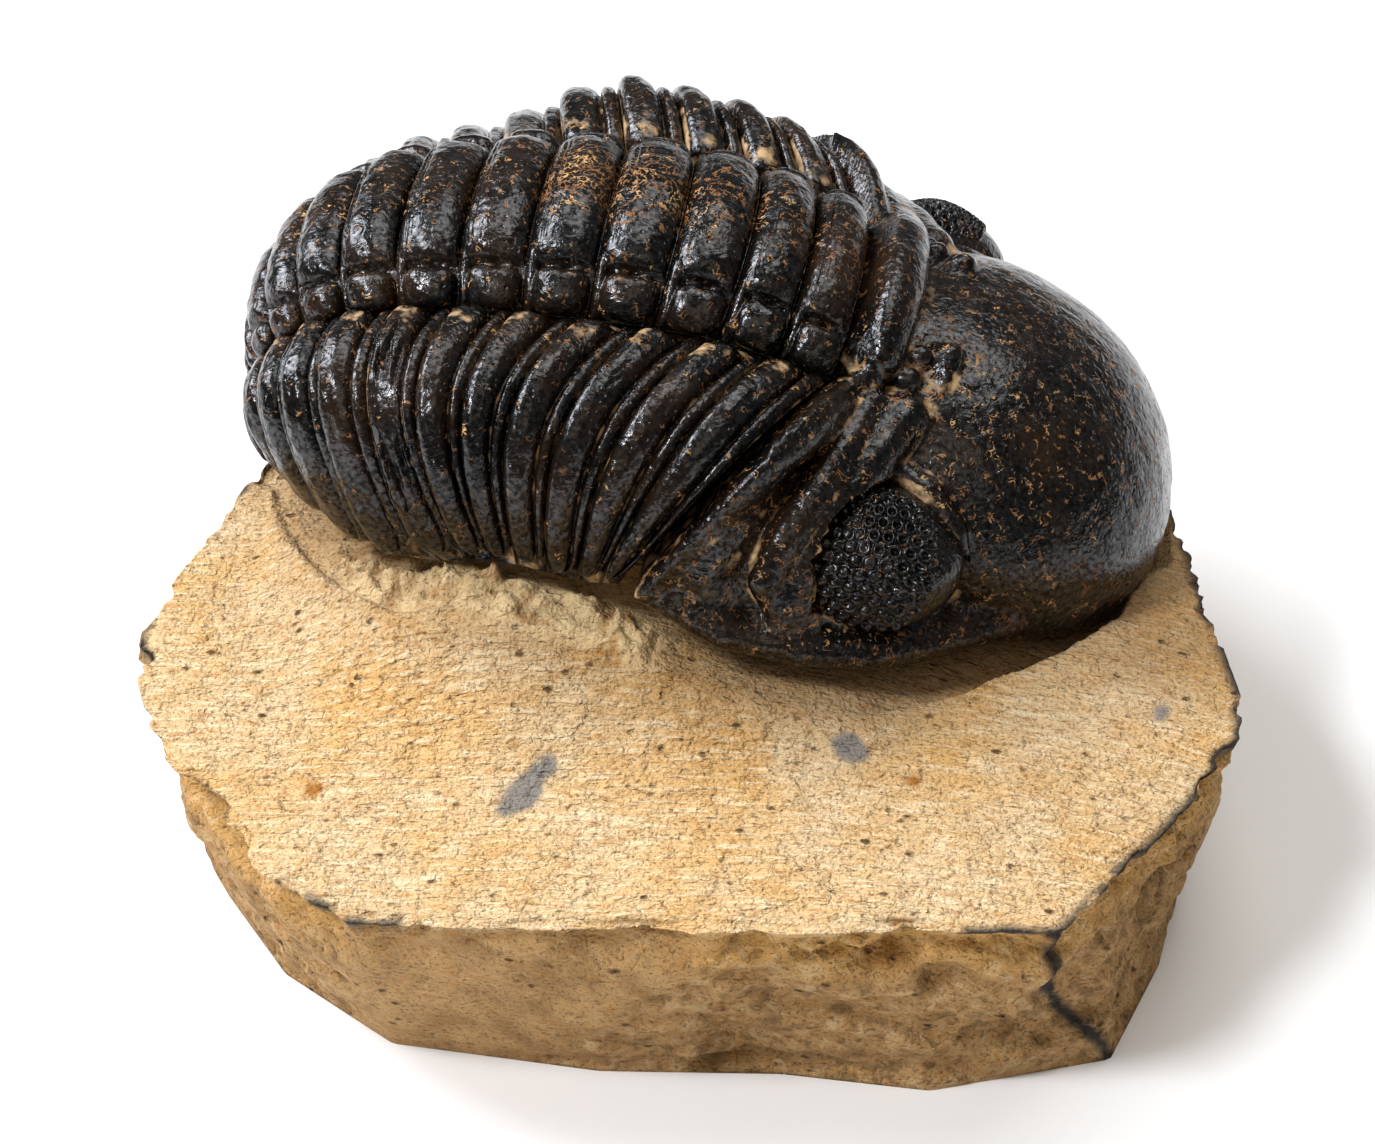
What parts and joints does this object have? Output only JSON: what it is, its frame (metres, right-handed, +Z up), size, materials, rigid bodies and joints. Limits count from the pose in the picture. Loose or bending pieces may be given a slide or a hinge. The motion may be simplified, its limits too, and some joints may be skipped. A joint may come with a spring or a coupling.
{
  "type": "trilobite fossil on matrix",
  "caption": "Black arched trilobite with a bulbous head shield, faceted eyes and a ribbed body, mounted on a trimmed block of tan limestone.",
  "frame": {"origin": "middle of the bounding box on the stone's flat foot", "axes": "+X from tail to head along the body, +Z up, the flank seen in the picture faces -Y"},
  "size_m": [0.1064, 0.1011, 0.0609],
  "materials": {
    "limestone": null,
    "black_calcite": null
  },
  "bodies": {
    "root": {"matrix": "limestone", "cephalon": "black_calcite", "thoracic_segment_01": "black_calcite", "thoracic_segment_02": "black_calcite", "thoracic_segment_03": "black_calcite", "thoracic_segment_04": "black_calcite", "thoracic_segment_05": "black_calcite", "thoracic_segment_06": "black_calcite", "thoracic_segment_07": "black_calcite", "thoracic_segment_08": "black_calcite", "thoracic_segment_09": "black_calcite", "thoracic_segment_10": "black_calcite", "thoracic_segment_11": "black_calcite", "pygidium": "black_calcite"}
  },
  "joints": []
}
